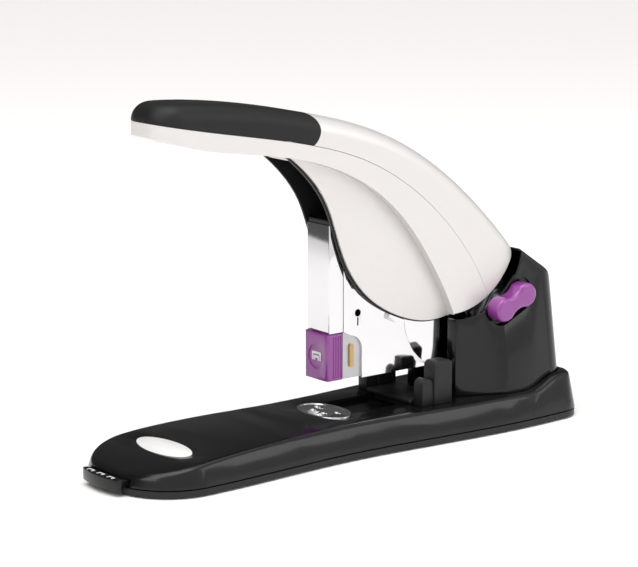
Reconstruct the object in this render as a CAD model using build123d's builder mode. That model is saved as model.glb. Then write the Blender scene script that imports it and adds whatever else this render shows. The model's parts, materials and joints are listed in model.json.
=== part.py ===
from build123d import *
import os
from math import cos, radians, sin, sqrt

# Heavy-duty stapler. Millimetres, +Z up, nose towards -X, origin under the middle of its box.

os.makedirs("parts", exist_ok=True)

# ---------------------------------------------------------------- driving sizes
# base, in plan
tab_tip_x = -148.8
nose_x = -142.5
nose_flat = 8.0
nose_radius = 33.0
waist_x = -15.0
waist_half = 36.6
heel_x = 98.0
heel_half = 43.0
tail_half = 41.6
rear_x = 148.8
rear_radius = 16.0

# base, in height
foot_proud = 0.8
plate_thick = 3.0
groove = 0.8
nose_top_z = 10.6
deck_z = 18.3
ledge_z = 25.0
ledge_start_x = 108.0
ledge_end_x = 138.0
flare = 0.32
rear_flare_kept = 0.45
deck_round = 4.0
shell_wall = 2.2
deck_skin = 2.4

# housing, outside
housing_front_x = 70.0
housing_front_half = 20.0
housing_bend_x = 98.6
housing_bend_half = 33.3
housing_side_x = 117.0
housing_rear_x = 143.2
housing_rear_radius = 13.0
housing_crown_half = 21.0
housing_crown_z = 95.0
housing_wall = 1.2
housing_round = 4.0
rim_centre_x = 70.4
rim_centre_z = 109.2
rim_radius = 48.6
rim_gap = 3.2

# handle
handle_half = 18.0
handle_wall = 2.0
handle_round = 9.0
handle_tip_x = -120.0
handle_tip_round = 15.0
handle_pivot = (98.0, 86.0)
handle_travel = 25.0
grip_end_x = -21.0
grip_end_z = 172.0
grip_end_radius = 9.3
seam_gap = 0.25
frame_thick = 1.2
cheek_thick = 1.5
cheek_lip = 0.9
bridge_bottom_z = 149.0
frame_front_x = -47.5
arm_thick = 6.0
arm_tip_radius = 6.4
arm_hub_radius = 10.0
arm_pin_radius = 3.0

# head
head_pivot = (105.0, 50.0)
head_travel = 8.6
plate_sheet = 1.2
frame_clear = 0.5
column_front_x = -9.0
column_top_z = 119.5
column_bottom_z = 61.8
head_bottom_z = 35.5
step_x = 13.1
carrier_top_z = 118.0
carrier_bottom_z = 104.0
rivet_radius = 2.0
blade_thick = 1.2
driver_stroke = 27.0
driver_pin = (1.5, 112.0)
driver_pin_d = 5.0

# loading drawer and staples
staple_crown = 13.0
staple_wire = 0.7
staple_leg = 20.0
staple_clear = 0.2
sheath_sheet = 0.5
guide_sheet = 0.8
strip_length = 52.0
drawer_front_x = -10.5
drawer_top_z = 61.4
drawer_bottom_z = 36.5
drawer_rear_x = 84.0
chamber_rear_x = -5.8

# pins and running clearances
pivot_pin_d = 8.0
bracket_thick = 2.5
pin_clear = 0.05
pin_slot_clear = 0.4
slide_clear = 0.2
part_gap = 0.1

# paper stop
stop_front_x = 39.0
stop_rear_x = 61.0
stop_ear_y = 23.5
stop_ear_width = 9.5
stop_top_z = 42.0
channel_half = 14.0
channel_depth = 3.7
channel_front_x = 4.0
channel_rear_x = 70.0

# anvil and name plate
anvil_x = -5.0
anvil_long = 18.5
anvil_short = 11.5
anvil_thick = 3.0
label_x = -108.0
label_long = 22.0
label_short = 8.0

# storage drawer
tray_half = 17.0
tray_floor_z = 4.1
tray_top_z = 8.0
tray_rear_x = -72.0
tab_half = 16.0
tab_top_z = 8.6

# ---------------------------------------------------------------- derived levels
plate_top_z = foot_proud + plate_thick
shell_z = plate_top_z + groove
sheath_half = staple_crown / 2 + staple_clear + sheath_sheet
guide_half = sheath_half + slide_clear + guide_sheet
plate_inner = guide_half + part_gap
head_half = plate_inner + plate_sheet
drawer_half = head_half + 0.3
blade_width = staple_crown - 2 * staple_clear
frame_inner = head_half + frame_clear
frame_outer = frame_inner + frame_thick
cheek_outer = frame_outer + cheek_thick
housing_slot_half = cheek_outer + frame_clear
bracket_inner = head_half + 1.3
bracket_outer = bracket_inner + bracket_thick
web_top_z = 12.2
end_radius = rim_radius - rim_gap
rail_half = staple_crown / 2 - staple_wire - staple_clear
strip_top_z = drawer_top_z - 1.8
strip_bottom_z = strip_top_z - staple_leg
blade_front_x = column_front_x + plate_sheet + 0.4
blade_tip_z = drawer_bottom_z + driver_stroke


# side-view regions are drawn on a plane beyond the right-hand side and pushed through to the left
wide = 60.0
far_plane = Plane.XZ.offset(-wide)


# ---------------------------------------------------------------- shared helpers
def bar(x, y, z, mode=Mode.ADD):
    """A rectangular block between two limits on each axis."""
    with Locations(((x[0] + x[1]) / 2, (y[0] + y[1]) / 2, (z[0] + z[1]) / 2)):
        Box(x[1] - x[0], y[1] - y[0], z[1] - z[0], mode=mode)


def cross_rod(centre, radius, y, mode=Mode.ADD):
    """A round bar along Y through a point of the side view, between two Y limits."""
    with Locations((centre[0], (y[0] + y[1]) / 2, centre[1])):
        Cylinder(radius, y[1] - y[0], rotation=(90, 0, 0), mode=mode)


def upright(x, y, radius, z, mode=Mode.ADD):
    """A round post between two heights."""
    with Locations((x, y, (z[0] + z[1]) / 2)):
        Cylinder(radius, z[1] - z[0], mode=mode)


def turned(point, centre, angle):
    """A side-view point after its body turns nose-down about a centre."""
    a = radians(angle)
    x = point[0] - centre[0]
    z = point[1] - centre[1]
    return (centre[0] + x * cos(a) - z * sin(a), centre[1] + x * sin(a) + z * cos(a))


def base_plan(inset, z):
    """Plan of the base at a height, drawn in all round by inset."""
    nose_centre_x = nose_x + nose_radius
    tail_x = rear_x - rear_radius + (1 - rear_flare_kept) * inset
    with BuildSketch(Plane.XY.offset(z)) as plan:
        with BuildLine():
            Line((nose_x + inset, 0), (nose_x + inset, nose_flat))
            CenterArc((nose_centre_x, nose_flat), nose_radius - inset, 180, -90)
            Spline(
                (nose_centre_x, nose_flat + nose_radius - inset),
                (waist_x, waist_half - inset),
                (heel_x, heel_half - inset),
                (tail_x, tail_half - inset),
                tangents=((1, 0), (1, -0.07)),
            )
            CenterArc((tail_x, tail_half - rear_radius), rear_radius - inset, 90, -90)
            Line((tail_x + rear_radius - inset, tail_half - rear_radius), (tail_x + rear_radius - inset, 0))
            mirror(about=Plane.XZ)
        make_face()
    return plan.sketch.face()


def under_deck(drop):
    """Side view of everything below the base's top surface, lowered by drop, on the far plane."""
    low = -5.0
    far = 12.0
    with BuildSketch(far_plane) as region:
        with BuildLine():
            Spline(
                (nose_x - far, nose_top_z - 3.2 - drop),
                (nose_x + 4, nose_top_z - drop),
                (-113, deck_z - 3.0 - drop),
                (-85, deck_z - 0.8 - drop),
                (-50, deck_z - drop),
                tangents=((1, 0.2), (1, 0)),
            )
            Line((-50, deck_z - drop), (ledge_start_x, deck_z - drop))
            Spline(
                (ledge_start_x, deck_z - drop),
                (ledge_end_x, ledge_z - drop),
                tangents=((1, 0), (1, 0)),
            )
            Polyline(
                (ledge_end_x, ledge_z - drop),
                (rear_x + far, ledge_z - drop),
                (rear_x + far, low),
                (nose_x - far, low),
                (nose_x - far, nose_top_z - 3.2 - drop),
            )
        make_face()
    return region.sketch.face()


def housing_plan(inset, side_half, z):
    """Plan of the housing at a height; side_half is how far its flanks stand out there."""
    rear = housing_rear_x - inset
    corner = housing_rear_radius - inset
    side = side_half - inset
    front_half = housing_front_half - inset
    with BuildSketch(Plane.XY.offset(z)) as plan:
        with BuildLine():
            Polyline(
                (housing_front_x + inset, 0),
                (housing_front_x + inset, front_half),
                (housing_bend_x, side),
                (housing_side_x, side),
                (rear - corner, side - 1.5),
            )
            CenterArc((rear - corner, side - 1.5 - corner), corner, 90, -90)
            Line((rear, side - 1.5 - corner), (rear, 0))
            mirror(about=Plane.XZ)
        make_face()
    return plan.sketch.face()


def housing_side(inset, open_front):
    """Side view of the housing, drawn in at roof and rear; open_front leaves out the round rim."""
    rim_top_z = housing_crown_z - 0.5
    rim_top_x = rim_centre_x + sqrt(rim_radius**2 - (rim_centre_z - rim_top_z) ** 2)
    with BuildSketch(far_plane) as view:
        with BuildLine():
            Polyline(
                (housing_front_x - 5, deck_z - 2),
                (housing_front_x - 5, rim_top_z - inset),
                (rim_top_x, rim_top_z - inset),
                (138.5 - inset / 2, 80.0 - inset),
                (housing_rear_x - inset, 68.0 - inset),
                (housing_rear_x + 1 - inset, deck_z - 2),
                close=True,
            )
        make_face()
        if not open_front:
            with Locations((rim_centre_x, rim_centre_z)):
                Circle(rim_radius, mode=Mode.SUBTRACT)
    return view.sketch.face()


def behind_handle():
    """Side view of the space behind the handle's round rear end."""
    with BuildSketch(far_plane) as region:
        with Locations((rim_centre_x + 60, rim_centre_z - 35)):
            Rectangle(120, 110)
        with Locations((rim_centre_x, rim_centre_z)):
            Circle(end_radius, mode=Mode.SUBTRACT)
    return region.sketch.face()


def grip_zone(gap):
    """Side view of the part of the handle that the soft grip covers, drawn in by gap."""
    with BuildSketch(far_plane) as region:
        with Locations((grip_end_x - grip_end_radius - 60, 180)):
            Rectangle(120, 60)
        with Locations((grip_end_x - grip_end_radius, grip_end_z)):
            Circle(grip_end_radius - gap)
    return region.sketch.face()


def drawn_in(points, inset):
    """Points of a side-view curve moved to the right of its direction by inset."""
    moved = []
    for i, point in enumerate(points):
        before = points[max(i - 1, 0)]
        after = points[min(i + 1, len(points) - 1)]
        run = after[0] - before[0]
        rise = after[1] - before[1]
        length = sqrt(run**2 + rise**2)
        moved.append((point[0] + inset * rise / length, point[1] - inset * run / length))
    return moved


def handle_side(start_y, inset):
    """Side view of the handle, drawn in by inset, before its rear end is cut round."""
    tip_x = handle_tip_x + inset
    crown = drawn_in(
        [(-80.0, 189.0), (-26.0, 180.3), (23.5, 166.0), (69.0, 140.0), (104.0, 109.0), (124.0, 84.0)],
        inset,
    )
    ridge = drawn_in(
        [(rim_centre_x, 63.2), (57.7, 88.1), (28.0, 126.5), (-23.1, 154.6), (-72.5, 163.9)],
        inset,
    )
    crown_start = (tip_x, 190.5 - inset)
    ridge_end = (tip_x, 175.0 + inset)
    with BuildSketch(Plane.XZ.offset(-start_y)) as view:
        with BuildLine():
            Line(ridge_end, crown_start)
            Spline(crown_start, *crown, tangents=((1, 0.06), (0.6, -1)))
            Polyline(crown[-1], (100.0, 58.0 + inset), ridge[0])
            Spline(*ridge, ridge_end, tangents=((-0.4, 1), (-1, 0.35)))
        make_face()
    return view.sketch.face()


def handle_block(inset):
    """The handle's rounded body, drawn in all round by inset, still long at the rear."""
    half = handle_half - inset
    with BuildPart() as block:
        extrude(handle_side(half, inset), amount=2 * half)
        with BuildSketch(Plane.XY):
            with Locations(((handle_tip_x + 140) / 2, 0)):
                RectangleRounded(140 - handle_tip_x - 2 * inset, 2 * half, handle_tip_round - inset)
        extrude(amount=220, mode=Mode.INTERSECT)
        crown = block.faces().filter_by(lambda f: f.normal_at().Z > 0.2).sort_by(SortBy.AREA)[-1]
        fillet(crown.edges().filter_by(lambda e: e.center().X < 100), handle_round - inset)
    return block.part


def above_seam(lift):
    """Side view of everything above the line where the handle's two covers meet."""
    with BuildSketch(far_plane) as region:
        with BuildLine():
            Spline(
                (-150.0, 188.0 + lift),
                (-118.0, 181.4 + lift),
                (-84.6, 175.0 + lift),
                (-29.1, 164.6 + lift),
                (8.4, 153.2 + lift),
                (46.4, 130.8 + lift),
                (68.2, 110.8 + lift),
                (85.1, 89.0 + lift),
                (99.0, 58.0 + lift),
            )
            Polyline(
                (99.0, 58.0 + lift),
                (160.0, 58.0 + lift),
                (160.0, 230.0),
                (-150.0, 230.0),
                (-150.0, 188.0 + lift),
            )
        make_face()
    return region.sketch.face()


def cheek_side(lip, start_y):
    """Side view of a cheek on the plane at start_y; lip moves its free lower edge outwards."""
    with BuildSketch(Plane.XZ.offset(-start_y)) as view:
        with BuildLine():
            Spline(
                (-46.0 - lip, 164.0),
                (-25.6 - lip, 148.6 - lip),
                (-13.5 - lip, 133.0 - lip),
                (-6.0 - lip, 114.2 - lip),
                (-1.0 - lip, 101.0 - lip),
                (12.9 - lip, 81.1 - lip),
                (36.0, 66.4 - lip),
                (56.0, 61.3 - lip),
                (71.5, 62.8 - lip),
            )
            Line((71.5, 62.8 - lip), (71.5, 114.0))
            Spline((71.5, 114.0), (28.0, 146.0), (-46.0 - lip, 164.0))
        make_face()
    return view.sketch.face()


# ---------------------------------------------------------------- base
foot_spots = [(x, side * y) for x, y in ((-104, 24), (112, 30)) for side in (-1, 1)]
screw_spots = [(x, side * y) for x, y in ((-62, 27), (40, 29), (132, 22)) for side in (-1, 1)]
foot_radius = 7.0
screw_radius = 1.5
screw_head_radius = 3.0
screw_head_z = foot_proud + 1.8
screw_top_z = 11.0
boss_radius = 3.6

with BuildPart() as rubber_feet:
    for spot in foot_spots:
        upright(*spot, foot_radius, (0, 2 * foot_proud))
rubber_feet.part.label = "rubber_feet"
export_step(rubber_feet.part, "parts/rubber_feet.step")

with BuildPart() as bottom_plate:
    extrude(base_plan(0.3, foot_proud), amount=plate_thick)
    extrude(base_plan(shell_wall + 1.2, plate_top_z), amount=2.4)
    extrude(base_plan(shell_wall + 2.4, plate_top_z), amount=2.4, mode=Mode.SUBTRACT)
    bar((nose_x, -110), (-tray_half - 1, tray_half + 1), (plate_top_z, plate_top_z + 3), Mode.SUBTRACT)
    for spot in foot_spots:
        upright(*spot, foot_radius, (0, 2 * foot_proud), Mode.SUBTRACT)
    for spot in screw_spots:
        upright(*spot, boss_radius + 0.4, (plate_top_z, plate_top_z + 3), Mode.SUBTRACT)
        upright(*spot, screw_radius + 0.2, (0, plate_top_z + 1), Mode.SUBTRACT)
        upright(*spot, screw_head_radius + 0.3, (0, screw_head_z), Mode.SUBTRACT)
bottom_plate.part.label = "bottom_plate"
export_step(bottom_plate.part, "parts/bottom_plate.step")

with BuildPart() as base_screws:
    for spot in screw_spots:
        upright(*spot, screw_head_radius, (foot_proud + 0.3, screw_head_z))
        upright(*spot, screw_radius, (screw_head_z, screw_top_z))
        upright(*spot, 1.2, (foot_proud, foot_proud + 1.2), Mode.SUBTRACT)
base_screws.part.label = "base_screws"
export_step(base_screws.part, "parts/base_screws.step")

ceiling_z = ledge_z + 3
housing_foot_z = deck_z + part_gap
tub_bottom_z = deck_z - channel_depth - 2
opening_front_x = channel_rear_x + 3.5
opening_rear_x = 127.0
opening_half = 16.0

with BuildPart() as base_cavity:
    loft(
        sections=[
            base_plan(shell_wall, shell_z - 1),
            base_plan(shell_wall + flare * (ceiling_z - shell_z), ceiling_z),
        ],
        ruled=True,
    )
    extrude(under_deck(deck_skin), amount=2 * wide, mode=Mode.INTERSECT)
    extrude(housing_plan(-2.0, housing_bend_half, deck_z - deck_skin), amount=20, mode=Mode.SUBTRACT)
    bar(
        (channel_front_x - 2, channel_rear_x + 2),
        (-channel_half - 2, channel_half + 2),
        (tub_bottom_z, deck_z),
        Mode.SUBTRACT,
    )
    for spot in screw_spots:
        upright(*spot, boss_radius, (shell_z - 2, deck_z), Mode.SUBTRACT)

with BuildPart() as base_shell:
    loft(
        sections=[
            base_plan(0, shell_z),
            base_plan(flare * (ceiling_z - shell_z), ceiling_z),
        ],
        ruled=True,
    )
    extrude(under_deck(0), amount=2 * wide, mode=Mode.INTERSECT)
    deck_faces = base_shell.faces().filter_by(lambda f: f.normal_at().Z > 0.5)
    wall_faces = base_shell.faces().filter_by(lambda f: abs(f.normal_at().Z) < 0.5)
    wall_edges = wall_faces.edges()
    rim_edges = [e for e in deck_faces.edges() if any(e.is_same(w) for w in wall_edges)]
    fillet(rim_edges, deck_round)
    add(base_cavity.part, mode=Mode.SUBTRACT)
    with BuildSketch(Plane.XY.offset(tub_bottom_z)):
        with Locations((anvil_x, 0)):
            Ellipse(anvil_short + part_gap, anvil_long + part_gap)
    extrude(amount=20, mode=Mode.SUBTRACT)
    bar(
        (channel_front_x, channel_rear_x),
        (-channel_half, channel_half),
        (deck_z - channel_depth, deck_z + 5),
        Mode.SUBTRACT,
    )
    extrude(housing_plan(-part_gap, housing_bend_half, deck_z), amount=20, mode=Mode.SUBTRACT)
    bar(
        (opening_front_x, opening_rear_x),
        (-opening_half, opening_half),
        (tub_bottom_z - 2, deck_z + 1),
        Mode.SUBTRACT,
    )
    bar(
        (nose_x - 5, -110),
        (-tray_half - slide_clear, tray_half + slide_clear),
        (shell_z - 2, tray_top_z + 0.3),
        Mode.SUBTRACT,
    )
    for spot in screw_spots:
        upright(*spot, screw_radius, (shell_z - 2, screw_top_z), Mode.SUBTRACT)
    with BuildSketch(Plane.XY.offset(nose_top_z - 2)):
        with Locations((label_x, 0)):
            Ellipse(label_short + part_gap, label_long + part_gap)
    extrude(amount=30, mode=Mode.SUBTRACT)
    with BuildSketch(Plane.XY.offset(nose_top_z - 2)):
        with Locations((label_x, 0)):
            Ellipse(label_short + part_gap, label_long + part_gap)
    recess = extrude(amount=30, mode=Mode.PRIVATE)
    floor = extrude(under_deck(0.6), amount=2 * wide, mode=Mode.PRIVATE)
    roof = extrude(under_deck(deck_skin), amount=2 * wide, mode=Mode.PRIVATE)
    add(recess & floor - roof)
base_shell.part.label = "base_shell"
export_step(base_shell.part, "parts/base_shell.step")

with BuildPart() as name_plate:
    with BuildSketch(Plane.XY.offset(nose_top_z - 2)):
        with Locations((label_x, 0)):
            Ellipse(label_short, label_long)
    extrude(amount=30)
    extrude(under_deck(-0.25), amount=2 * wide, mode=Mode.INTERSECT)
    extrude(under_deck(0.6), amount=2 * wide, mode=Mode.SUBTRACT)
name_plate.part.label = "name_plate"
export_step(name_plate.part, "parts/name_plate.step")

# ---------------------------------------------------------------- steel frame in the base
frame_half = 17.0
frame_sheet = 2.2
frame_front = -24.0
frame_rear = 128.0
bracket_front_x = 88.0
bracket_rear_x = 124.0
bracket_rivets_at = [(x, y) for x in (94, 118) for y in (-7, 7)]
anvil_top_z = deck_z + 0.2
anvil_bottom_z = anvil_top_z - anvil_thick

with BuildPart() as frame_channel:
    bar((frame_front, frame_rear), (-frame_half, frame_half), (plate_top_z + 0.2, web_top_z))
    bar(
        (frame_front - 1, frame_rear + 1),
        (-frame_half + frame_sheet, frame_half - frame_sheet),
        (plate_top_z - 1, web_top_z - frame_sheet),
        Mode.SUBTRACT,
    )
    for spot in bracket_rivets_at:
        upright(*spot, rivet_radius, (web_top_z - 4, web_top_z + 1), Mode.SUBTRACT)
frame_channel.part.label = "frame_channel"
export_step(frame_channel.part, "parts/frame_channel.step")

with BuildPart() as anvil_seat:
    bar((anvil_x - 9, channel_front_x - 2.5), (-12, 12), (web_top_z, anvil_bottom_z))
anvil_seat.part.label = "anvil_seat"
export_step(anvil_seat.part, "parts/anvil_seat.step")

with BuildPart() as anvil_plate:
    with BuildSketch(Plane.XY.offset(anvil_bottom_z)):
        with Locations((anvil_x, 0)):
            Ellipse(anvil_short, anvil_long)
    extrude(amount=anvil_thick)
    with BuildSketch(Plane.XY.offset(anvil_top_z - 0.5)):
        with Locations((anvil_x, 0)):
            Ellipse(anvil_short - 1.6, anvil_long - 1.6)
    extrude(amount=2, mode=Mode.SUBTRACT)
    with BuildSketch(Plane.XY.offset(anvil_top_z - 1.3)):
        with Locations((anvil_x - 2.6, 4.6), (anvil_x - 2.6, -4.6), (anvil_x + 3.2, 8.6), (anvil_x + 3.2, -8.6)):
            SlotOverall(6.4, 2.4, rotation=90)
    extrude(amount=3, mode=Mode.SUBTRACT)
anvil_plate.part.label = "anvil_plate"
export_step(anvil_plate.part, "parts/anvil_plate.step")

# ---------------------------------------------------------------- housing and pivots
lever_centre = (105.0, 67.5)
lever_front = (97.0, 64.2)
lever_rear = (112.6, 70.9)
lever_radius = 6.6
lever_outer_y = -31.5
pocket_y = -22.3
pocket_margin = 2.4
pocket_wall = 1.5
release_shaft_radius = 2.5


def lever_outline(margin, y):
    """Side view of the release lever's two round ends, on a plane at y, grown by margin."""
    with BuildSketch(Plane.XZ.offset(-y)) as outline:
        with Locations(lever_front, lever_rear):
            Circle(lever_radius + margin)
        make_hull()
    return outline.sketch.face()


with BuildPart() as housing_cavity:
    loft(
        sections=[
            housing_plan(housing_wall, housing_bend_half, housing_foot_z - 1),
            housing_plan(housing_wall, housing_crown_half, housing_crown_z + 5),
        ],
        ruled=True,
    )
    extrude(housing_side(housing_wall, True), amount=2 * wide, mode=Mode.INTERSECT)
    extrude(
        lever_outline(pocket_margin + pocket_wall, pocket_y + pocket_wall),
        amount=40,
        mode=Mode.SUBTRACT,
    )

with BuildPart() as housing:
    loft(
        sections=[
            housing_plan(0, housing_bend_half, housing_foot_z),
            housing_plan(0, housing_crown_half, housing_crown_z + 5),
        ],
        ruled=True,
    )
    extrude(housing_side(0, False), amount=2 * wide, mode=Mode.INTERSECT)
    roof_edges = housing.edges().filter_by(lambda e: e.center().Z > 60 and e.center().X > 118)
    fillet(roof_edges, housing_round)
    add(housing_cavity.part, mode=Mode.SUBTRACT)
    extrude(lever_outline(pocket_margin, pocket_y), amount=40, mode=Mode.SUBTRACT)
    cross_rod(lever_centre, release_shaft_radius + pin_clear, (-40, -15), Mode.SUBTRACT)
    bar(
        (housing_front_x - 2, housing_front_x + 4),
        (-housing_slot_half, housing_slot_half),
        (deck_z - 1, rim_centre_z),
        Mode.SUBTRACT,
    )
housing.part.label = "housing"
export_step(housing.part, "parts/housing.step")

with BuildPart() as pivot_bracket:
    with BuildSketch(Plane.XZ.offset(-bracket_outer)):
        with Locations(handle_pivot):
            Circle(9.0)
        with Locations(head_pivot):
            Circle(11.0)
        with Locations(((bracket_front_x + bracket_rear_x) / 2, web_top_z + 2)):
            Rectangle(bracket_rear_x - bracket_front_x, 4)
        make_hull()
    extrude(amount=2 * bracket_outer)
    bar((0, 150), (-bracket_inner, bracket_inner), (web_top_z + bracket_thick, 110), Mode.SUBTRACT)
    for centre in (handle_pivot, head_pivot):
        cross_rod(centre, pivot_pin_d / 2, (-20, 20), Mode.SUBTRACT)
    cross_rod(lever_centre, release_shaft_radius + pin_clear, (-20, 0), Mode.SUBTRACT)
    for spot in bracket_rivets_at:
        upright(*spot, rivet_radius, (web_top_z - 1, web_top_z + 4), Mode.SUBTRACT)
pivot_bracket.part.label = "pivot_bracket"
export_step(pivot_bracket.part, "parts/pivot_bracket.step")

with BuildPart() as bracket_rivets:
    for spot in bracket_rivets_at:
        upright(*spot, rivet_radius, (web_top_z - frame_sheet, web_top_z + bracket_thick))
        upright(*spot, rivet_radius + 1.2, (web_top_z - frame_sheet - 1.0, web_top_z - frame_sheet))
        upright(*spot, rivet_radius + 1.2, (web_top_z + bracket_thick, web_top_z + bracket_thick + 1.0))
bracket_rivets.part.label = "bracket_rivets"
export_step(bracket_rivets.part, "parts/bracket_rivets.step")

pin_half = bracket_outer + 1.4
for pin_name, centre in (("handle_pivot_pin", handle_pivot), ("head_pivot_pin", head_pivot)):
    with BuildPart() as pivot_pin:
        cross_rod(centre, pivot_pin_d / 2, (-pin_half, pin_half))
        chamfer(pivot_pin.edges().filter_by(GeomType.CIRCLE), 0.6)
    pivot_pin.part.label = pin_name
    export_step(pivot_pin.part, f"parts/{pin_name}.step")


def coil(plane, radius, wire, pitch, height):
    """A helical spring starting at a plane's origin and running along its normal."""
    with BuildPart() as spring:
        with BuildLine():
            turns = Helix(pitch, height, radius)
        with BuildSketch(Plane(turns @ 0, z_dir=turns % 0)):
            Circle(wire)
        sweep()
    return plane.location * spring.part


lift_spring_x = 80.0
head_foot_z = head_bottom_z - 2.5
head_lift_spring = coil(Plane((lift_spring_x, 0, web_top_z + 0.8)), 5.0, 0.7, 3.2, head_foot_z - web_top_z - 1.6)
head_lift_spring.label = "head_lift_spring"
export_step(head_lift_spring, "parts/head_lift_spring.step")

hub_half = 6.2
spring_start_y = hub_half + 1.0
handle_springs = coil(
    Plane(origin=(handle_pivot[0], spring_start_y, handle_pivot[1]), z_dir=(0, 1, 0)), 5.4, 0.6, 1.5, 3.0
)
handle_springs += mirror(handle_springs, about=Plane.XZ)
handle_springs.label = "handle_springs"
export_step(handle_springs, "parts/handle_springs.step")

# ---------------------------------------------------------------- release lever
with BuildPart() as release_lever:
    extrude(lever_outline(0, pocket_y - 0.4), amount=pocket_y - 0.4 - lever_outer_y)
    waist = ((lever_front[0] + lever_rear[0]) / 2, (lever_front[1] + lever_rear[1]) / 2)
    for side in (-1, 1):
        with BuildSketch(Plane.XZ.offset(pocket_y * -1)):
            with Locations((waist[0] + side * 5.5, waist[1] - side * 13.0)):
                Circle(9.6)
        extrude(amount=20, mode=Mode.SUBTRACT)
    fillet(release_lever.faces().sort_by(Axis.Y)[0].edges(), 2.2)
    cross_rod(lever_centre, release_shaft_radius, (-30, -20), Mode.SUBTRACT)
release_lever.part.label = "release_lever"
export_step(release_lever.part, "parts/release_lever.step")

with BuildPart() as release_shaft:
    cross_rod(lever_centre, release_shaft_radius, (-30, -bracket_inner - 0.4))
release_shaft.part.label = "release_shaft"
export_step(release_shaft.part, "parts/release_shaft.step")

with BuildPart() as release_pawl:
    with BuildSketch(Plane.XZ.offset(bracket_outer + 0.6)):
        with Locations(lever_centre):
            Circle(5.0)
        with Locations((lever_centre[0] - 9, lever_centre[1] - 9)):
            Circle(2.2)
        make_hull()
    extrude(amount=1.8)
    cross_rod(lever_centre, release_shaft_radius, (-20, 0), Mode.SUBTRACT)
release_pawl.part.label = "release_pawl"
export_step(release_pawl.part, "parts/release_pawl.step")

# ---------------------------------------------------------------- handle
handle_outer = handle_block(0)
handle_inner = handle_block(handle_wall)

frame_slot_half = cheek_outer + part_gap
with BuildPart() as handle_lower:
    add(handle_outer)
    extrude(behind_handle(), amount=2 * wide, mode=Mode.SUBTRACT)
    add(handle_inner, mode=Mode.SUBTRACT)
    extrude(above_seam(0), amount=2 * wide, mode=Mode.SUBTRACT)
    bar((frame_front_x, 130), (-frame_slot_half, frame_slot_half), (50, 175), Mode.SUBTRACT)
handle_lower.part.label = "handle_lower"
export_step(handle_lower.part, "parts/handle_lower.step")

with BuildPart() as handle_upper:
    add(handle_outer)
    extrude(behind_handle(), amount=2 * wide, mode=Mode.SUBTRACT)
    extrude(above_seam(seam_gap), amount=2 * wide, mode=Mode.INTERSECT)
    extrude(grip_zone(0), amount=2 * wide, mode=Mode.SUBTRACT)
    add(handle_inner, mode=Mode.SUBTRACT)
handle_upper.part.label = "handle_upper"
export_step(handle_upper.part, "parts/handle_upper.step")

with BuildPart() as grip:
    add(handle_outer)
    extrude(above_seam(seam_gap), amount=2 * wide, mode=Mode.INTERSECT)
    extrude(grip_zone(0.15), amount=2 * wide, mode=Mode.INTERSECT)
    add(handle_inner, mode=Mode.SUBTRACT)
grip.part.label = "grip"
export_step(grip.part, "parts/grip.step")

arm_pin_spots = [
    (
        handle_pivot[0] + share * (driver_pin[0] - handle_pivot[0]),
        handle_pivot[1] + share * (driver_pin[1] - handle_pivot[1]),
    )
    for share in (0.3, 0.62)
]

with BuildPart() as handle_frame:
    extrude(cheek_side(cheek_lip, frame_outer), amount=2 * frame_outer)
    extrude(cheek_side(cheek_lip + 40, frame_inner), amount=2 * frame_inner, mode=Mode.SUBTRACT)
    for spot in arm_pin_spots:
        cross_rod(spot, arm_pin_radius, (-20, 20), Mode.SUBTRACT)
handle_frame.part.label = "handle_frame"
export_step(handle_frame.part, "parts/handle_frame.step")

for cheek_name, side in (("cheek_left", 1), ("cheek_right", -1)):
    with BuildPart() as cheek:
        extrude(cheek_side(0, -side * frame_outer), amount=side * cheek_thick)
    cheek.part.label = cheek_name
    export_step(cheek.part, f"parts/{cheek_name}.step")

with BuildPart() as cheek_bridge:
    extrude(cheek_side(0, frame_inner - part_gap), amount=2 * (frame_inner - part_gap))
    extrude(cheek_side(-2.0, wide), amount=2 * wide, mode=Mode.SUBTRACT)
    bar((-80, 80), (-20, 20), (50, bridge_bottom_z), Mode.SUBTRACT)
    bar((frame_front_x + 14, 80), (-20, 20), (50, 200), Mode.SUBTRACT)
cheek_bridge.part.label = "cheek_bridge"
export_step(cheek_bridge.part, "parts/cheek_bridge.step")


def pin_in_handle(share):
    """Where the driver's cross pin lies in the handle's own frame after a share of the stroke."""
    lowered = (driver_pin[0], driver_pin[1] - share * driver_stroke)
    swung = turned(lowered, head_pivot, share * head_travel)
    return turned(swung, handle_pivot, -share * handle_travel)


with BuildPart() as drive_arm:
    slot_start = pin_in_handle(0)
    slot_end = pin_in_handle(1)
    slot_middle = ((slot_start[0] + slot_end[0]) / 2, (slot_start[1] + slot_end[1]) / 2)
    with BuildSketch(Plane.XZ.offset(-arm_thick / 2)):
        with Locations(handle_pivot):
            Circle(arm_hub_radius)
        with Locations(slot_middle):
            Circle(arm_tip_radius)
        make_hull()
    extrude(amount=arm_thick)
    cross_rod(handle_pivot, arm_hub_radius - 1, (-hub_half, hub_half))
    cross_rod(handle_pivot, pivot_pin_d / 2 + pin_clear, (-20, 20), Mode.SUBTRACT)
    with BuildSketch(Plane.XZ.offset(-arm_thick)):
        with Locations(slot_start, slot_end, pin_in_handle(0.5)):
            Circle(driver_pin_d / 2 + pin_slot_clear)
        make_hull()
    extrude(amount=2 * arm_thick, mode=Mode.SUBTRACT)
    for spot in arm_pin_spots:
        cross_rod(spot, arm_pin_radius, (-20, 20), Mode.SUBTRACT)
drive_arm.part.label = "drive_arm"
export_step(drive_arm.part, "parts/drive_arm.step")

with BuildPart() as arm_pins:
    for spot in arm_pin_spots:
        cross_rod(spot, arm_pin_radius, (-frame_outer, frame_outer))
arm_pins.part.label = "arm_pins"
export_step(arm_pins.part, "parts/arm_pins.step")

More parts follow.
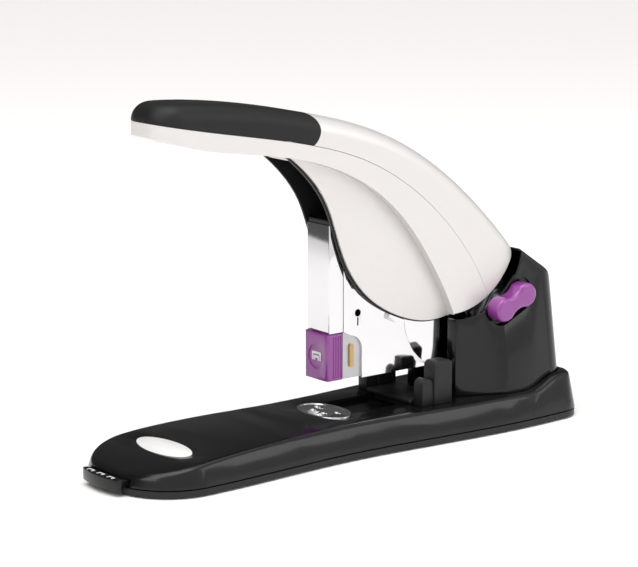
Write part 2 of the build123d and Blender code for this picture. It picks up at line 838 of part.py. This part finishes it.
# ---------------------------------------------------------------- head
guide_front_x = 1.0
guide_rear_x = 88.0
guide_bottom_z = head_bottom_z + 0.7
guide_top_z = drawer_top_z - 0.2
keyhole = (10.2, 71.0)
plate_rivet_spots = [(30.0, 67.0), (70.0, 63.8), (4.6, 98.0)]
seam_centre = (75.0, 65.0)
seam_radius = 33.0

for plate_name, side in (("side_plate_left", 1), ("side_plate_right", -1)):
    with BuildPart() as side_plate:
        with BuildSketch(Plane.XZ.offset(side * plate_inner)):
            with BuildLine():
                Polyline(
                    (0.6, column_bottom_z),
                    (0.6, column_top_z),
                    (9.5, column_top_z),
                    (12.0, 97.0),
                    (25.0, 81.0),
                    (45.0, 71.0),
                    (92.0, 60.0),
                    (head_pivot[0] + 8, head_pivot[1] + 8),
                    (head_pivot[0] + 8, head_pivot[1] - 8),
                    (84.0, head_bottom_z),
                    (step_x, head_bottom_z),
                    (step_x, 51.0),
                )
                ThreePointArc((step_x, 51.0), (10.8, 56.8), (5.6, 59.4))
                Line((5.6, 59.4), (0.6, column_bottom_z))
            make_face()
            with Locations(head_pivot):
                Circle(pivot_pin_d / 2 + 0.4, mode=Mode.SUBTRACT)
            with Locations(keyhole):
                Circle(2.0, mode=Mode.SUBTRACT)
            with Locations((keyhole[0], keyhole[1] - 4.6)):
                Rectangle(0.9, 4.6, mode=Mode.SUBTRACT)
            with Locations(*plate_rivet_spots):
                Circle(rivet_radius, mode=Mode.SUBTRACT)
        extrude(amount=side * plate_sheet)
        with BuildSketch(Plane.XZ.offset(side * (head_half - 0.3))):
            with Locations(seam_centre):
                Circle(seam_radius + 0.3)
                Circle(seam_radius - 0.3, mode=Mode.SUBTRACT)
        extrude(amount=side, mode=Mode.SUBTRACT)
    side_plate.part.label = plate_name
    export_step(side_plate.part, f"parts/{plate_name}.step")

with BuildPart() as plate_rivets:
    for spot in plate_rivet_spots[:2]:
        cross_rod(spot, rivet_radius, (-head_half, head_half))
    for side in (-1, 1):
        end_y = sorted((side * head_half, side * plate_inner))
        cross_rod(plate_rivet_spots[2], rivet_radius, end_y)
plate_rivets.part.label = "plate_rivets"
export_step(plate_rivets.part, "parts/plate_rivets.step")

with BuildPart() as column_cover:
    bar((column_front_x, 0.3), (-head_half, head_half), (column_bottom_z, column_top_z))
    fillet(column_cover.edges().filter_by(Axis.Z).sort_by(Axis.X)[:2], 0.8)
    bar(
        (column_front_x + plate_sheet, 1),
        (-plate_inner, plate_inner),
        (column_bottom_z - 1, column_top_z + 1),
        Mode.SUBTRACT,
    )
column_cover.part.label = "column_cover"
export_step(column_cover.part, "parts/column_cover.step")

with BuildPart() as column_cap:
    bar((column_front_x + 0.4, 9.5), (-head_half + 0.3, head_half - 0.3), (column_top_z + 0.1, column_top_z + 2.6))
    fillet(column_cap.edges().filter_by(Axis.Z), 1.0)
column_cap.part.label = "column_cap"
export_step(column_cap.part, "parts/column_cap.step")

with BuildPart() as head_block:
    bar((guide_rear_x + 2, head_pivot[0]), (-plate_inner, plate_inner), (head_pivot[1] - 8, head_pivot[1] + 8))
    cross_rod(head_pivot, 8.0, (-head_half - 0.6, head_half + 0.6))
    for side in (-1, 1):
        plate_y = sorted((side * plate_inner, side * head_half))
        bar((guide_rear_x, 120), plate_y, (30, 70), Mode.SUBTRACT)
        cross_rod(head_pivot, pivot_pin_d / 2 + 0.4, plate_y)
    cross_rod(head_pivot, pivot_pin_d / 2 + pin_clear, (-20, 20), Mode.SUBTRACT)
head_block.part.label = "head_block"
export_step(head_block.part, "parts/head_block.step")

with BuildPart() as head_foot:
    bar((lift_spring_x - 6, lift_spring_x + 4), (-head_half, head_half), (head_foot_z, head_bottom_z))
head_foot.part.label = "head_foot"
export_step(head_foot.part, "parts/head_foot.step")

with BuildPart() as magazine_guide:
    bar((guide_front_x, guide_rear_x), (-guide_half, guide_half), (guide_bottom_z, guide_top_z))
    bar(
        (guide_front_x - 1, guide_rear_x + 1),
        (-guide_half + guide_sheet, guide_half - guide_sheet),
        (guide_bottom_z - 1, guide_top_z - guide_sheet),
        Mode.SUBTRACT,
    )
magazine_guide.part.label = "magazine_guide"
export_step(magazine_guide.part, "parts/magazine_guide.step")

with BuildPart() as guide_springs:
    for side in (-1, 1):
        with BuildSketch(Plane.XZ.offset(side * guide_half)):
            with Locations((6.4, 48.3)):
                SlotOverall(12.6, 2.6, rotation=90)
        extrude(amount=side * 0.9)
guide_springs.part.label = "guide_springs"
export_step(guide_springs.part, "parts/guide_springs.step")

# ---------------------------------------------------------------- driver
carrier_half = plate_inner - 0.15
wall_rear_x = blade_front_x + blade_thick + 0.1

with BuildPart() as driver_blade:
    bar(
        (blade_front_x, blade_front_x + blade_thick),
        (-blade_width / 2, blade_width / 2),
        (blade_tip_z, carrier_bottom_z),
    )
driver_blade.part.label = "driver_blade"
export_step(driver_blade.part, "parts/driver_blade.step")

with BuildPart() as driver_carrier:
    bar((blade_front_x, 8.0), (-carrier_half, carrier_half), (carrier_bottom_z, carrier_top_z))
    bar((wall_rear_x, 9.0), (-arm_thick / 2 - 0.2, arm_thick / 2 + 0.2), (carrier_bottom_z - 1, carrier_top_z + 1), Mode.SUBTRACT)
    cross_rod(driver_pin, driver_pin_d / 2, (-20, 20), Mode.SUBTRACT)
driver_carrier.part.label = "driver_carrier"
export_step(driver_carrier.part, "parts/driver_carrier.step")

with BuildPart() as driver_pin_bar:
    cross_rod(driver_pin, driver_pin_d / 2, (-carrier_half, carrier_half))
driver_pin_bar.part.label = "driver_pin_bar"
export_step(driver_pin_bar.part, "parts/driver_pin_bar.step")

# ---------------------------------------------------------------- loading drawer
rod_z = 47.0
rail_top_z = strip_top_z - staple_wire - part_gap
strip_front_x = chamber_rear_x + 0.2
strip_rear_x = strip_front_x + strip_length

with BuildPart() as drawer_front:
    bar((drawer_front_x, 0.2), (-drawer_half, drawer_half), (drawer_bottom_z, drawer_top_z))
    fillet(drawer_front.edges().filter_by(Axis.Z), 1.6)
    bar((blade_front_x - 0.3, 1.0), (-sheath_half, sheath_half), (drawer_bottom_z - 1, drawer_top_z + 1), Mode.SUBTRACT)
    for groove_x in (-6.6, -5.0, -3.4, -1.8):
        for side in (-1, 1):
            with BuildSketch(Plane.XY.offset(drawer_bottom_z + 1.2)):
                with Locations((groove_x, side * drawer_half)):
                    Circle(0.5)
            extrude(amount=drawer_top_z - drawer_bottom_z - 2.4, mode=Mode.SUBTRACT)
    with BuildSketch(Plane.YZ.offset(drawer_front_x)):
        with Locations((0, 48.6)):
            Circle(6.4)
    extrude(amount=0.6, mode=Mode.SUBTRACT)
drawer_front.part.label = "drawer_front"
export_step(drawer_front.part, "parts/drawer_front.step")

with BuildPart() as drawer_icon:
    with BuildSketch(Plane.YZ.offset(drawer_front_x + 0.6)):
        for width, drop in ((7.4, 0.0), (4.4, -2.1)):
            with Locations((0, 50.6 + drop)):
                Rectangle(width, 1.2)
            with Locations(*[(side * (width / 2 - 0.45), 48.9 + drop / 2) for side in (-1, 1)]):
                Rectangle(0.9, 4.6 + drop)
    extrude(amount=-0.35)
drawer_icon.part.label = "drawer_icon"
export_step(drawer_icon.part, "parts/drawer_icon.step")

with BuildPart() as magazine_rail:
    sheath_top_z = guide_top_z - guide_sheet - 1.6
    bar((chamber_rear_x, drawer_rear_x), (-sheath_half, sheath_half), (drawer_bottom_z + 0.1, sheath_top_z))
    bar(
        (chamber_rear_x - 1, drawer_rear_x + 1),
        (-sheath_half + sheath_sheet, sheath_half - sheath_sheet),
        (drawer_bottom_z + 0.9, sheath_top_z + 1),
        Mode.SUBTRACT,
    )
    bar((chamber_rear_x, drawer_rear_x), (-rail_half, rail_half), (drawer_bottom_z + 0.5, rail_top_z))
    bar(
        (chamber_rear_x + 1.2, drawer_rear_x - 1.2),
        (-rail_half + 0.8, rail_half - 0.8),
        (drawer_bottom_z + 0.9, rail_top_z - 0.8),
        Mode.SUBTRACT,
    )
magazine_rail.part.label = "magazine_rail"
export_step(magazine_rail.part, "parts/magazine_rail.step")

with BuildPart() as staple_strip:
    crown_half = staple_crown / 2
    bar((strip_front_x, strip_rear_x), (-crown_half, crown_half), (strip_bottom_z, strip_top_z))
    bar(
        (strip_front_x - 1, strip_rear_x + 1),
        (-crown_half + staple_wire, crown_half - staple_wire),
        (strip_bottom_z - 1, strip_top_z - staple_wire),
        Mode.SUBTRACT,
    )
staple_strip.part.label = "staple_strip"
export_step(staple_strip.part, "parts/staple_strip.step")

with BuildPart() as pusher_rod:
    bar((chamber_rear_x + 1.2, drawer_rear_x - 1.2), (-1.2, 1.2), (rod_z - 1.2, rod_z + 1.2))
pusher_rod.part.label = "pusher_rod"
export_step(pusher_rod.part, "parts/pusher_rod.step")

pusher_spring = coil(
    Plane(origin=(strip_rear_x + 4, 0, rod_z), z_dir=(1, 0, 0)), 2.9, 0.45, 3.0, drawer_rear_x - strip_rear_x - 6
)
pusher_spring.label = "pusher_spring"
export_step(pusher_spring, "parts/pusher_spring.step")

pusher_travel = 20.0
with BuildPart() as pusher:
    pusher_x = (strip_rear_x + 0.2, strip_rear_x + 12)
    bar(pusher_x, (-crown_half, crown_half), (strip_bottom_z + 4, strip_top_z + 0.2))
    bar(
        (pusher_x[0] - 1, pusher_x[1] + 1),
        (-crown_half + staple_wire, crown_half - staple_wire),
        (strip_bottom_z + 3, strip_top_z - staple_wire + 0.1),
        Mode.SUBTRACT,
    )
pusher.part.label = "pusher"
export_step(pusher.part, "parts/pusher.step")

# ---------------------------------------------------------------- paper stop
stop_floor_z = deck_z + slide_clear
with BuildPart() as stop_carriage:
    bar((stop_front_x, stop_rear_x), (-stop_ear_y + 5, stop_ear_y - 5), (stop_floor_z, stop_floor_z + 2.2))
    bar(
        (stop_front_x + 2, stop_rear_x - 2),
        (-channel_half + slide_clear, channel_half - slide_clear),
        (deck_z - channel_depth + 0.4, stop_floor_z),
    )
    fillet(stop_carriage.edges().filter_by(Axis.Z).sort_by(Axis.X)[:2], 1.5)
stop_carriage.part.label = "stop_carriage"
export_step(stop_carriage.part, "parts/stop_carriage.step")

for ear_name, side in (("stop_ear_left", -1), ("stop_ear_right", 1)):
    ear_y = (side * stop_ear_y - stop_ear_width / 2, side * stop_ear_y + stop_ear_width / 2)
    with BuildPart() as stop_ear:
        bar((stop_rear_x - 13, stop_rear_x), ear_y, (stop_floor_z, stop_top_z))
        fillet(stop_ear.edges().filter_by(Axis.Y).sort_by(Axis.Z)[-2:], 3.0)
        fillet(stop_ear.edges().filter_by(Axis.Z), 1.2)
        lobe_y = (ear_y[0] + 1.2, ear_y[1] - 1.2)
        bar((stop_front_x + 1.6, stop_rear_x - 12), lobe_y, (stop_floor_z, 29.6))
        cross_rod((stop_front_x + 5.2, 29.4), 3.6, lobe_y)
    stop_ear.part.label = ear_name
    export_step(stop_ear.part, f"parts/{ear_name}.step")

# ---------------------------------------------------------------- storage drawer
tray_front_x = nose_x + 6
with BuildPart() as storage_tray:
    bar((tray_front_x, tray_rear_x), (-tray_half, tray_half), (tray_floor_z, tray_top_z))
    bar(
        (tray_front_x + 1.4, tray_rear_x - 1.4),
        (-tray_half + 1.4, tray_half - 1.4),
        (tray_floor_z + 1.2, tray_top_z + 1),
        Mode.SUBTRACT,
    )
storage_tray.part.label = "storage_tray"
export_step(storage_tray.part, "parts/storage_tray.step")

with BuildPart() as storage_tab:
    bar((tab_tip_x - 1, nose_x - 1.2), (-tab_half, tab_half), (2.4, tab_top_z))
    bar((nose_x - 1.2, tray_front_x), (-tab_half, tab_half), (tray_floor_z, tray_top_z))
    with BuildSketch(Plane.XY):
        with Locations((tab_tip_x + 55, 0)):
            Circle(55)
    extrude(amount=20, mode=Mode.INTERSECT)
storage_tab.part.label = "storage_tab"
export_step(storage_tab.part, "parts/storage_tab.step")

with BuildPart() as tab_icon:
    with BuildSketch(Plane.XY.offset(tab_top_z)):
        for icon_y in (-9.0, 0.0, 9.0):
            with Locations((tab_tip_x + 3.4, icon_y)):
                Rectangle(0.7, 4.6)
            with Locations((tab_tip_x + 2.6, icon_y - 2.0), (tab_tip_x + 2.6, icon_y + 2.0)):
                Rectangle(2.2, 0.6)
    extrude(amount=0.15)
tab_icon.part.label = "tab_icon"
export_step(tab_icon.part, "parts/tab_icon.step")
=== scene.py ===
import json
import math

import bpy
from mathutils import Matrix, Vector


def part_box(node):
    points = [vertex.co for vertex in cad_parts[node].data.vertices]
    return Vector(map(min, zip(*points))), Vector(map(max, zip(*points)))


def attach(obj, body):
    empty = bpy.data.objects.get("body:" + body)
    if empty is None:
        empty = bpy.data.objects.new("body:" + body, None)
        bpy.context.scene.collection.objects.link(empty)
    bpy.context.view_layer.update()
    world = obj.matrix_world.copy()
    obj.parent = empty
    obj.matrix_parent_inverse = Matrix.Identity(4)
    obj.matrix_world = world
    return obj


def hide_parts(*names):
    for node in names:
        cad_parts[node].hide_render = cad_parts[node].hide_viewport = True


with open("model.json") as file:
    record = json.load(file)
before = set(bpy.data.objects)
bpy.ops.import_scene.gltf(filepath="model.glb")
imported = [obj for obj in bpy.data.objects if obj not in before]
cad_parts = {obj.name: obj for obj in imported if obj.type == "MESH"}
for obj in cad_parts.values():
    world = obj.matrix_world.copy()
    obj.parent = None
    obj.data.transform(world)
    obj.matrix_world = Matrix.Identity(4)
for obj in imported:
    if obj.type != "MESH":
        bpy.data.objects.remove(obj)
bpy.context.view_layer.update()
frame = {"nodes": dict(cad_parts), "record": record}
nodes = frame["nodes"]

slot_of = {part["node"]: part["material_slot"] for part in frame["record"]["subparts"]}
body_of = {
    node: body
    for body, members in frame["record"]["behaviour"]["bodies"].items()
    for node in members
}

# CAD facets: points this close are one point, and faces this flat to each other are one face
merge_distance = 0.000002
flat_angle = math.radians(1)
# edges sharper than this are rounded, and stay sharp in the shading
edge_angle = math.radians(35)
edge_steps = 2
# pieces shown just as the CAD made them are shaded smooth up to this angle
plain_smooth_angle = math.radians(30)


# ------------------------------------------------------------------ working on pieces
def drop_selection():
    """Leaves edit mode and deselects everything."""
    if bpy.context.object is not None and bpy.context.object.mode != "OBJECT":
        bpy.ops.object.mode_set(mode="OBJECT")
    bpy.ops.object.select_all(action="DESELECT")


def take_up(piece):
    """Makes one piece the selected and active one."""
    drop_selection()
    piece.select_set(True)
    bpy.context.view_layer.objects.active = piece


def block(name, low, high):
    """A rectangular block between two corners, its place and size in its mesh."""
    drop_selection()
    middle = [(a + b) / 2 for a, b in zip(low, high)]
    bpy.ops.mesh.primitive_cube_add(size=1, location=middle)
    piece = bpy.context.object
    piece.name = name
    piece.scale = [b - a for a, b in zip(low, high)]
    take_up(piece)
    bpy.ops.object.transform_apply(location=True, rotation=True, scale=True)
    return piece


def merged_copy(node):
    """A copy of a CAD node whose loose facets are merged into whole faces."""
    piece = nodes[node].copy()
    piece.data = nodes[node].data.copy()
    piece.name = node + "_finished"
    piece.parent = None
    for key in list(piece.keys()):
        del piece[key]
    bpy.context.scene.collection.objects.link(piece)
    take_up(piece)
    bpy.ops.object.mode_set(mode="EDIT")
    bpy.ops.mesh.select_all(action="SELECT")
    bpy.ops.mesh.remove_doubles(threshold=merge_distance)
    bpy.ops.mesh.dissolve_limited(angle_limit=flat_angle)
    bpy.ops.object.mode_set(mode="OBJECT")
    return piece


def soften(piece, width):
    """Rounds a piece's sharp edges and shades it smooth between them."""
    take_up(piece)
    bevel = piece.modifiers.new("edges", "BEVEL")
    bevel.width = width
    bevel.segments = edge_steps
    bevel.limit_method = "ANGLE"
    bevel.angle_limit = edge_angle
    bpy.ops.object.modifier_apply(modifier="edges")
    bpy.ops.object.shade_smooth_by_angle(angle=edge_angle)


# ------------------------------------------------------------------ writing finishes
class Value:
    """A number that varies over a surface; arithmetic on it adds Math nodes."""

    def __init__(self, finish, socket):
        self.finish = finish
        self.socket = socket

    def _math(self, operation, left, right):
        node = self.finish.tree.nodes.new("ShaderNodeMath")
        node.operation = operation
        for slot, side in zip(node.inputs, (left, right)):
            if isinstance(side, Value):
                self.finish.tree.links.new(side.socket, slot)
            else:
                slot.default_value = side
        return Value(self.finish, node.outputs[0])

    def __add__(self, other):
        return self._math("ADD", self, other)

    def __radd__(self, other):
        return self._math("ADD", other, self)

    def __mul__(self, other):
        return self._math("MULTIPLY", self, other)

    def __rmul__(self, other):
        return self._math("MULTIPLY", other, self)


class Finish:
    """One material: a principled surface, and the nodes that vary it over the piece."""

    def __init__(self, name, colour, rough, metal=0.0, coat=0.0, coat_rough=0.05, shine=0.5):
        self.material = bpy.data.materials.new(name)
        self.material.use_nodes = True
        self.tree = self.material.node_tree
        self.shader = self.tree.nodes["Principled BSDF"]
        self.shader.inputs["Base Color"].default_value = (*colour, 1)
        self.shader.inputs["Roughness"].default_value = rough
        self.shader.inputs["Metallic"].default_value = metal
        self.shader.inputs["Coat Weight"].default_value = coat
        self.shader.inputs["Coat Roughness"].default_value = coat_rough
        self.shader.inputs["Specular IOR Level"].default_value = shine
        self.colour = colour

    def node(self, kind, settings, inputs):
        """Any other node: its settings first, then the values or links of its sockets."""
        made = self.tree.nodes.new(kind)
        for key, setting in settings.items():
            setattr(made, key, setting)
        for key, given in inputs.items():
            if isinstance(given, Value):
                self.tree.links.new(given.socket, made.inputs[key])
            elif hasattr(given, "is_output"):
                self.tree.links.new(given, made.inputs[key])
            else:
                made.inputs[key].default_value = given
        return made

    def place(self, stretch=(1, 1, 1)):
        """The object's own coordinates, stretched."""
        where = self.node("ShaderNodeTexCoord", {}, {})
        moved = self.node(
            "ShaderNodeMapping", {}, {"Vector": where.outputs["Object"], "Scale": stretch}
        )
        return moved.outputs["Vector"]

    def noise(self, size, stretch=(1, 1, 1)):
        """Cloudy noise between 0 and 1, with features about size metres across."""
        made = self.node(
            "ShaderNodeTexNoise",
            {},
            {"Vector": self.place(stretch), "Scale": 1 / size, "Detail": 3.0, "Roughness": 0.55},
        )
        return Value(self, made.outputs["Fac"])

    def pores(self, size):
        """Distance to the nearest of many scattered points, about size metres apart."""
        made = self.node(
            "ShaderNodeTexVoronoi", {}, {"Vector": self.place(), "Scale": 1 / size}
        )
        return Value(self, made.outputs["Distance"])

    def roughness(self, amount):
        """Roughness that varies over the surface."""
        self.tree.links.new(amount.socket, self.shader.inputs["Roughness"])

    def tint(self, amount, other):
        """Base colour between the finish's own and another, by an amount."""
        # a colour Mix node has factor, first and second colour at sockets 0, 6 and 7
        mixed = self.node(
            "ShaderNodeMix",
            {"data_type": "RGBA"},
            {0: amount, 6: (*self.colour, 1), 7: (*other, 1)},
        )
        self.tree.links.new(mixed.outputs[2], self.shader.inputs["Base Color"])

    def relief(self, height, strength, depth):
        """Fine unevenness of the surface, depth in metres."""
        bump = self.node(
            "ShaderNodeBump", {}, {"Strength": strength, "Distance": depth, "Height": height}
        )
        self.tree.links.new(bump.outputs["Normal"], self.shader.inputs["Normal"])


# ------------------------------------------------------------------ the finishes
black_gloss = Finish(
    "polished_black_plastic", (0.004, 0.004, 0.0045), 0.16, coat=0.08, coat_rough=0.06, shine=0.3
)
black_gloss.roughness(0.13 + 0.08 * black_gloss.noise(0.03))
black_gloss.tint(black_gloss.noise(0.05) * 0.5, (0.007, 0.007, 0.0075))
black_gloss.relief(black_gloss.noise(0.009), 0.06, 0.0004)

black_matte = Finish("grained_black_plastic", (0.008, 0.008, 0.009), 0.42, shine=0.3)
black_matte.roughness(0.36 + 0.16 * black_matte.noise(0.006))
black_matte.tint(black_matte.noise(0.02) * 0.6, (0.018, 0.018, 0.019))
black_matte.relief(black_matte.pores(0.0006), 0.18, 0.00005)

grip_soft = Finish("soft_charcoal_grip", (0.006, 0.006, 0.007), 0.5, shine=0.3)
grip_soft.roughness(0.44 + 0.14 * grip_soft.noise(0.004))
grip_soft.tint(grip_soft.noise(0.012) * 0.7, (0.010, 0.010, 0.011))
grip_soft.relief(grip_soft.pores(0.0009) + 0.4 * grip_soft.noise(0.0012), 0.28, 0.00008)

silver = Finish(
    "satin_silver_lacquer", (0.668, 0.648, 0.634), 0.38, metal=0.35, coat=0.25, coat_rough=0.22
)
silver.roughness(0.33 + 0.1 * silver.noise(0.004) + 0.05 * silver.noise(0.04))
silver.tint(silver.noise(0.0012) * 0.5, (0.715, 0.697, 0.684))
silver.relief(silver.noise(0.0007), 0.05, 0.00004)

mirror_steel = Finish("bright_nickel_plate", (0.76, 0.76, 0.77), 0.08, metal=1.0)
mirror_steel.roughness(0.05 + 0.07 * mirror_steel.noise(0.012, (1, 1, 6)))
mirror_steel.tint(mirror_steel.noise(0.03) * 0.4, (0.68, 0.685, 0.70))
mirror_steel.relief(mirror_steel.noise(0.02), 0.03, 0.0004)

steel = Finish("zinc_plated_steel", (0.5, 0.5, 0.51), 0.3, metal=1.0)
steel.roughness(0.24 + 0.2 * steel.noise(0.003, (0.15, 1, 1)))
steel.tint(steel.noise(0.008) * 0.6, (0.42, 0.42, 0.44))
steel.relief(steel.noise(0.0008, (0.1, 1, 1)), 0.08, 0.00004)

spring_steel = Finish("drawn_spring_wire", (0.28, 0.28, 0.29), 0.3, metal=1.0)
spring_steel.roughness(0.24 + 0.18 * spring_steel.noise(0.001))

bronze = Finish("phosphor_bronze_strip", (0.52, 0.36, 0.16), 0.28, metal=1.0)
bronze.roughness(0.22 + 0.2 * bronze.noise(0.002))
bronze.tint(bronze.noise(0.004) * 0.6, (0.42, 0.27, 0.12))

purple = Finish("glossy_violet_plastic", (0.22, 0.035, 0.235), 0.2, coat=0.5, coat_rough=0.08)
purple.roughness(0.17 + 0.09 * purple.noise(0.006))
purple.tint(purple.noise(0.012) * 0.4, (0.27, 0.05, 0.285))
purple.relief(purple.noise(0.004), 0.05, 0.0002)

label_grey = Finish("blank_satin_label", (0.82, 0.82, 0.81), 0.36, coat=0.15, coat_rough=0.2)
label_grey.roughness(0.34 + 0.08 * label_grey.noise(0.004))
label_grey.tint(label_grey.noise(0.006) * 0.4, (0.72, 0.72, 0.71))

white_mark = Finish("printed_white", (0.75, 0.75, 0.75), 0.45)
white_mark.roughness(0.4 + 0.12 * white_mark.noise(0.001))

rubber = Finish("moulded_rubber", (0.012, 0.012, 0.012), 0.7)
rubber.roughness(0.62 + 0.16 * rubber.noise(0.003))
rubber.relief(rubber.pores(0.0008), 0.2, 0.00006)

finishes = {
    "black_gloss": black_gloss,
    "black_matte": black_matte,
    "grip_rubber": grip_soft,
    "silver": silver,
    "mirror_steel": mirror_steel,
    "steel": steel,
    "spring_steel": spring_steel,
    "bronze": bronze,
    "purple": purple,
    "label_grey": label_grey,
    "white_mark": white_mark,
    "rubber": rubber,
}


def wear(piece, slot):
    """Gives a piece the one finish that belongs to a record slot."""
    piece.data.materials.clear()
    piece.data.materials.append(finishes[slot].material)


for name, thing in nodes.items():
    wear(thing, slot_of[name])

# ------------------------------------------------------------------ pieces with rounded edges
edge_widths = {
    "housing": 0.0005,
    "base_shell": 0.0003,
    "drawer_front": 0.00035,
    "side_plate_left": 0.00015,
    "side_plate_right": 0.00015,
    "cheek_left": 0.0004,
    "cheek_right": 0.0004,
    "column_cover": 0.0002,
    "column_cap": 0.0003,
    "stop_ear_left": 0.0005,
    "stop_ear_right": 0.0005,
    "stop_carriage": 0.0004,
    "storage_tab": 0.0004,
    "anvil_plate": 0.0003,
    "name_plate": 0.0003,
    "release_lever": 0.0002,
}
for node, width in edge_widths.items():
    piece = merged_copy(node)
    soften(piece, width)
    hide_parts(node)
    wear(piece, slot_of[node])
    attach(piece, body_of[node])

# ------------------------------------------------------------------ the strip of staples
# one wire arch, copied along the rail; along the rail an arch is shorter than the pitch, so that
# the arches stand apart
wire = 0.0007
pitch = 0.00074
arch_thickness = wire * 0.94
cutter_spare = 0.001
cutter_length = 0.002
strip_low, strip_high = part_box("staple_strip")
arch = block(
    "staples", strip_low, (strip_low[0] + arch_thickness, strip_high[1], strip_high[2])
)
cutter = block(
    "gap_cutter",
    (strip_low[0] - cutter_spare, strip_low[1] + wire, strip_low[2] - cutter_spare),
    (strip_low[0] + cutter_length, strip_high[1] - wire, strip_high[2] - wire),
)
take_up(arch)
opened = arch.modifiers.new("opened", "BOOLEAN")
opened.object = cutter
opened.operation = "DIFFERENCE"
bpy.ops.object.modifier_apply(modifier="opened")
take_up(cutter)
bpy.ops.object.delete()
take_up(arch)
row = arch.modifiers.new("row", "ARRAY")
row.count = int((strip_high[0] - strip_low[0]) / pitch)
row.use_relative_offset = False
row.use_constant_offset = True
row.constant_offset_displace = (pitch, 0, 0)
bpy.ops.object.modifier_apply(modifier="row")
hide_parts("staple_strip")
wear(arch, slot_of["staple_strip"])
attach(arch, "magazine")

for thing in nodes.values():
    take_up(thing)
    bpy.ops.object.shade_smooth_by_angle(angle=plain_smooth_angle)

# ------------------------------------------------------------------ floor
floor_size = 40
floor_gap = 0.0003
drop_selection()
bpy.ops.mesh.primitive_plane_add(size=floor_size, location=(0, 0, -floor_gap))
floor = bpy.context.object
floor.name = "floor"
pale = Finish("pale_studio_floor", (0.93, 0.915, 0.91), 0.85, shine=0.1)
floor.data.materials.append(pale.material)

# ------------------------------------------------------------------ light
# the studio is bright on the -Y side and dim on the +Y side, with a soft change between them
bright_strength = 0.95
dim_strength = 0.1
change_reach = 0.35
world = bpy.data.worlds.new("studio")
bpy.context.scene.world = world
world.use_nodes = True
sky = world.node_tree.nodes
sky_link = world.node_tree.links.new
seen = sky.new("ShaderNodeTexCoord")
split = sky.new("ShaderNodeSeparateXYZ")
sky_link(seen.outputs["Generated"], split.inputs[0])
fade = sky.new("ShaderNodeMapRange")
fade.interpolation_type = "SMOOTHSTEP"
fade.inputs["From Min"].default_value = change_reach
fade.inputs["From Max"].default_value = -change_reach
fade.inputs["To Min"].default_value = dim_strength
fade.inputs["To Max"].default_value = bright_strength
sky_link(split.outputs["Y"], fade.inputs["Value"])
sky["Background"].inputs["Color"].default_value = (1.0, 0.985, 0.98, 1)
sky_link(fade.outputs[0], sky["Background"].inputs["Strength"])


def look_along(piece, direction):
    """Turns a lamp or camera so that it faces along a direction."""
    piece.rotation_euler = direction.to_track_quat("-Z", "Y").to_euler()


def softbox(name, place, aim, width, height, watts):
    """A large rectangular lamp aimed at a point."""
    drop_selection()
    bpy.ops.object.light_add(type="AREA", location=place)
    lamp = bpy.context.object
    lamp.name = name
    lamp.data.shape = "RECTANGLE"
    lamp.data.size = width
    lamp.data.size_y = height
    lamp.data.energy = watts
    look_along(lamp, Vector(aim) - Vector(place))


softbox("overhead", (0.1, 0.1, 1.5), (0, 0, 0.05), width=1.5, height=1.3, watts=7)
softbox("left_key", (-1.3, -0.2, 1.1), (0, 0, 0.08), width=0.8, height=0.8, watts=6)

sun_strength = 1.45
sun_angle = math.radians(50)
drop_selection()
bpy.ops.object.light_add(type="SUN", location=(0, 0, 2))
sun = bpy.context.object
sun.name = "even_light"
sun.data.energy = sun_strength
sun.data.angle = sun_angle
look_along(sun, Vector((0.22, 0.12, -1)))

softbox("right_fill", (0.9, -1.2, 0.8), (0.05, 0, 0.08), width=0.8, height=0.8, watts=4)

# ------------------------------------------------------------------ camera
camera_place = (-0.771, -0.969, 0.338)
camera_back = Vector((-0.606, -0.770, 0.199)).normalized()
drop_selection()
bpy.ops.object.camera_add(location=camera_place)
camera = bpy.context.object
camera.data.sensor_width = 36
camera.data.lens = 135.4
camera.data.dof.use_dof = False
camera.data.clip_start = 0.05
look_along(camera, -camera_back)
bpy.context.scene.camera = camera
bpy.context.scene.view_settings.view_transform = "Standard"
